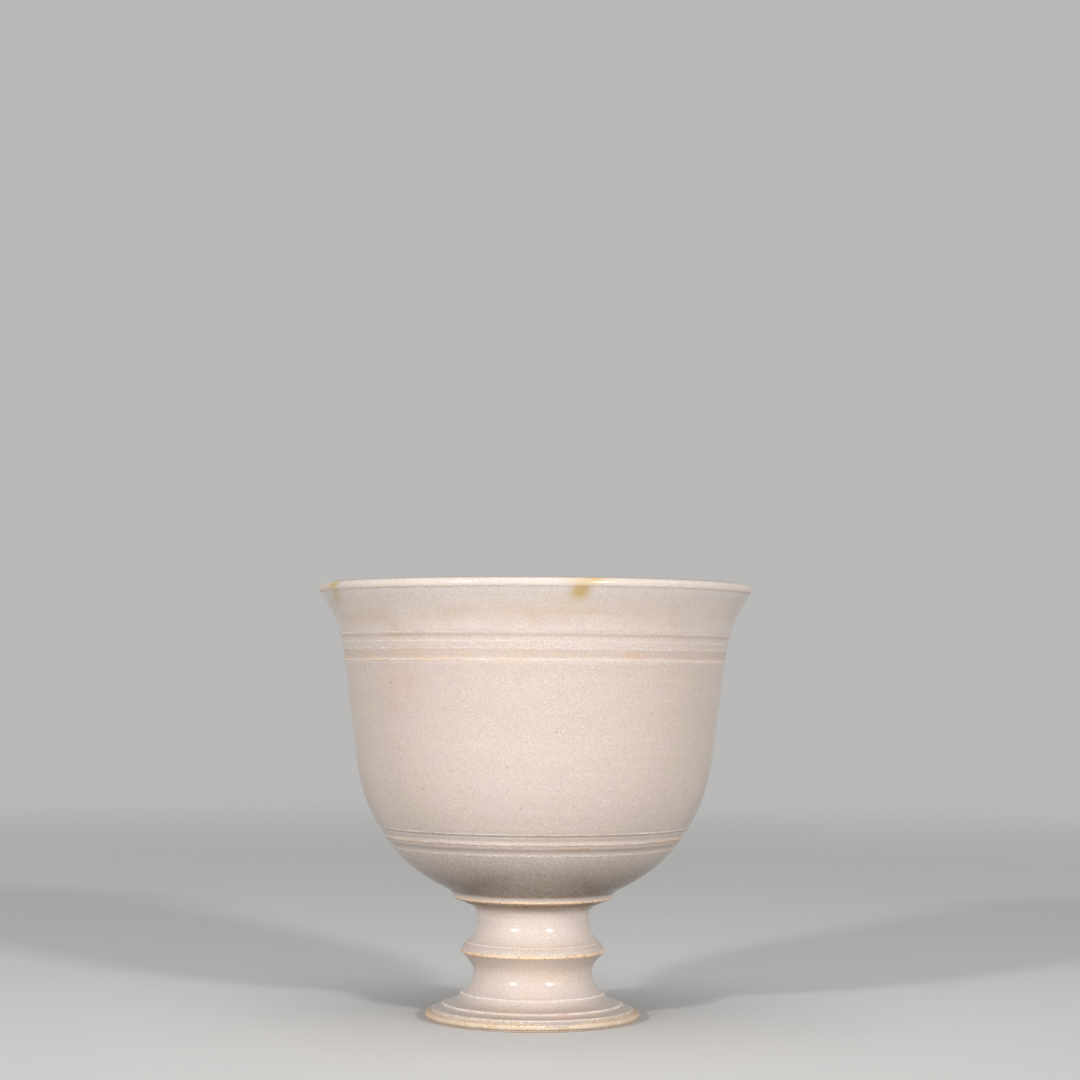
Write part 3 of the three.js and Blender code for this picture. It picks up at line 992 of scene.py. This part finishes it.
    def bare_clay(self):
        """Mixes in the clay where the glaze stops, with a crumbled border, and gives the clay's share."""
        past_border = self.add(self.field("bare"), self.times(self.ragged, 2.4))
        bare = self.range(past_border, -0.1, 0.12)
        yellow = self.range(self.add(self.mottle, self.times(self.grain, 0.4)), 0.5, 0.95)
        low = self.range(self.level(), 0.15, 0.6, 1.0, 0.0)
        clay = self.mix(yellow, CLAY_PALE, CLAY_YELLOW)
        clay = self.tinted(clay, CLAY_PINK, low, 0.75)
        clay = self.tinted(clay, GLAZE_THIN_AND_LIT, self.patches(0.33, 2, 0.5, 0.62), 0.5)
        clay = self.tinted(clay, STAIN_COLOURS["ochre"], self.patches(0.4, 2, 0.56, 0.68), 0.45)
        clay = self.tinted(clay, RUST_DARK, self.specks(*CLAY_CRUMBS), 0.5)
        self.colour = self.tinted(self.colour, clay, bare)
        border = self.range(self.math("ABSOLUTE", past_border), 0.05, 0.45, 1.0, 0.0)
        self.colour = self.tinted(self.colour, FLECK_AND_SPARKLE, border, self.patches(0.3, 2, 0.5, 0.6), 0.8)
        self.colour = self.tinted(self.colour, RUST_DARK, border, self.specks(*EDGE_CRUMBS), 0.7)
        return bare

    def finish_glaze(self):
        bare = self.bare_clay()
        roughness = self.add(0.13, self.times(self.mottle, 0.06), self.times(self.inside, 0.45))
        roughness = self.add(roughness, self.field("matt"), self.times(self.dark, 0.2), self.times(bare, 0.6))
        roughness = self.math("MINIMUM", roughness, 0.85)
        height = self.add(self.times(self.mottle, 0.012), self.times(self.grain, 0.006))
        height = self.add(height, self.times(self.line, 0.05), self.times(self.line, self.grain, 0.06))
        height = self.add(height, self.times(bare, self.grain, 0.15), self.times(self.dark, -0.02))
        return self.finish(self.colour, roughness, height)


def fired_slip_material():
    shader = Shader("fired_slip")
    mottle = shader.noise(1.4, 3)
    grain = shader.noise(0.3, 3)
    tone = shader.range(shader.add(mottle, shader.times(grain, 0.5)), 0.5, 1.0)
    colour = shader.mix(tone, SLIP_BROWN, STAIN_COLOURS["tan"])
    colour = shader.tinted(colour, RUST_DARK, shader.specks(*SLIP_CRUMBS), 0.7)
    roughness = shader.add(0.6, shader.times(grain, 0.2))
    height = shader.add(shader.times(mottle, 0.05), shader.times(grain, 0.08))
    return shader.finish(colour, roughness, height)


bowl_outline = Outline("bowl", BOWL_ARRISES)
bowl = make_bowl_piece(bowl_outline)
stem = make_stem_piece()
seam = make_slip_piece()
bowl_glaze = Glaze("bowl_glaze", shade=0.22, grain_share=1.0)
bowl_glaze.mark(bowl_outline, BOWL_PITS, BOWL_STROKES)
# The foot's glaze is the bowl's, about 5% darker as painted shade on the stem, and less grainy
foot_glaze = Glaze("foot_glaze", shade=0.3, grain_share=0.8)
for piece, material, node, slot in (
    (bowl, bowl_glaze.finish_glaze(), "bowl", "bowl_glaze"),
    (stem, foot_glaze.finish_glaze(), "stem_foot", "foot_glaze"),
    (seam, fired_slip_material(), "luting_slip", "fired_slip"),
):
    piece.data.materials.append(material)
    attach(piece, "root")
    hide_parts(node)

# Floor and backdrop: pale when seen, and darker as a light, to keep the shade under the bowl
FLOOR_SEEN = (0.88, 0.875, 0.865)
FLOOR_DARKER = 0.985
FLOOR_BOUNCE = (0.04, 0.04, 0.04)
FLOOR_SIZE = 24.0
FLOOR_ROUGHNESS = 0.8
PAPER_GRAIN = 0.25
PAPER_RELIEF = 0.04
SWEEP_START = 0.12
SWEEP_END = 0.9
BACKGROUND = (0.49, 0.485, 0.475)
AMBIENT_SHARE = 0.14


def seen_directly(tree):
    """1 for what the camera sees straight on, in gloss or through glass, and otherwise 0."""
    path = tree.nodes.new("ShaderNodeLightPath")
    seen = path.outputs["Is Camera Ray"]
    for ray in ("Is Glossy Ray", "Is Transmission Ray"):
        either = tree.nodes.new("ShaderNodeMath")
        either.operation = "MAXIMUM"
        tree.links.new(seen, either.inputs[0])
        tree.links.new(path.outputs[ray], either.inputs[1])
        seen = either.outputs[0]
    return seen


def floor_paper():
    """Pale paper that turns into the backdrop's own colour with distance, as a paper sweep does."""
    shader = Shader("floor_paper")
    seen = seen_directly(shader.tree)
    darker = [FLOOR_DARKER * c for c in FLOOR_SEEN]
    colour = shader.mix(shader.patches(40, 3, 0.3, 0.7), FLOOR_SEEN, darker)
    colour = shader.mix(seen, FLOOR_BOUNCE, colour)
    relief = shader.times(shader.noise(PAPER_GRAIN, 2), PAPER_RELIEF)
    material = shader.finish(colour, FLOOR_ROUGHNESS, relief)
    distance = shader.vector("DISTANCE", shader.place, (0, 0, 0))
    far = shader.range(distance, SWEEP_START / MM, SWEEP_END / MM)
    glow = shader.tree.nodes.new("ShaderNodeEmission")
    shader.put(BACKGROUND, glow.inputs["Color"])
    sweep = shader.tree.nodes.new("ShaderNodeMixShader")
    shader.put(shader.times(far, seen), sweep.inputs[0])
    shader.put(shader.surface, sweep.inputs[1])
    shader.put(glow.outputs[0], sweep.inputs[2])
    shader.put(sweep.outputs[0], shader.output.inputs["Surface"])
    return material


def make_floor():
    bpy.ops.mesh.primitive_plane_add(size=FLOOR_SIZE, location=(0, 0, 0))
    floor = bpy.context.object
    floor.name = "floor"
    floor.data.materials.append(floor_paper())


def make_backdrop():
    """The world: seen by the camera, in gloss and through glass, and dimmer as a light."""
    world = bpy.data.worlds.new("studio")
    bpy.context.scene.world = world
    world.use_nodes = True
    tree = world.node_tree
    tree.nodes.clear()
    strength = tree.nodes.new("ShaderNodeMapRange")
    strength.inputs["To Min"].default_value = AMBIENT_SHARE
    strength.inputs["To Max"].default_value = 1.0
    tree.links.new(seen_directly(tree), strength.inputs["Value"])
    backdrop = tree.nodes.new("ShaderNodeBackground")
    backdrop.inputs["Color"].default_value = (*BACKGROUND, 1)
    tree.links.new(strength.outputs[0], backdrop.inputs["Strength"])
    output = tree.nodes.new("ShaderNodeOutputWorld")
    tree.links.new(backdrop.outputs[0], output.inputs["Surface"])


# Soft boxes: turn and rise in degrees, distance, width and height, power, and whether gloss shows them
AIM = (0, 0, 45 * MM)
SOFT_BOXES = {
    "soft_box_left": (-38, 18.5, 1.2, (0.1, 0.055), 4.9, True),
    "soft_box_right": (35, 18.5, 1.2, (0.14, 0.06), 5.4, True),
    "wide_box_left": (-44, 6, 1.5, (1.3, 0.24), 10.9, False),
    "wide_box_right": (45, 6, 1.5, (1.3, 0.24), 9.9, False),
    "strip_box_left": (-38, 11, 1.3, (0.18, 0.5), 0.35, True),
    "strip_box_right": (33, 11, 1.3, (0.2, 0.5), 0.4, True),
    "soft_box_top": (0, 86, 1.1, (0.9, 0.9), 3.0, True),
}


def make_soft_box(name, turn, rise, distance, size, power, in_gloss):
    turn, rise = math.radians(turn), math.radians(rise)
    lamp = bpy.data.lights.new(name, "AREA")
    lamp.shape = "RECTANGLE"
    lamp.size, lamp.size_y = size
    lamp.energy = power
    box = bpy.data.objects.new(name, lamp)
    bpy.context.scene.collection.objects.link(box)
    out = (math.cos(rise) * math.sin(turn), -math.cos(rise) * math.cos(turn), math.sin(rise))
    box.location = [a + distance * o for a, o in zip(AIM, out)]
    box.rotation_euler = (math.pi / 2 - rise, 0, turn)
    box.visible_glossy = in_gloss


CAMERA_PLACE = (0.0008, -0.4754, 0.0661)
CAMERA_TILT = math.radians(93.26)
CAMERA_ROLL = math.radians(0.45)
CAMERA_LENS = 80.61  # in mm, on a sensor 36 mm wide
CAMERA_SENSOR = 36


def make_camera():
    lens = bpy.data.cameras.new("camera")
    lens.lens = CAMERA_LENS
    lens.sensor_width = CAMERA_SENSOR
    lens.clip_start = 0.01
    lens.clip_end = 100
    camera = bpy.data.objects.new("camera", lens)
    bpy.context.scene.collection.objects.link(camera)
    camera.location = CAMERA_PLACE
    camera.rotation_euler = (CAMERA_TILT, 0, 0)
    camera.rotation_euler.rotate_axis("Z", CAMERA_ROLL)
    bpy.context.scene.camera = camera


make_floor()
make_backdrop()
for box_name, setting in SOFT_BOXES.items():
    make_soft_box(box_name, *setting)
make_camera()
bpy.context.scene.view_settings.view_transform = "Standard"
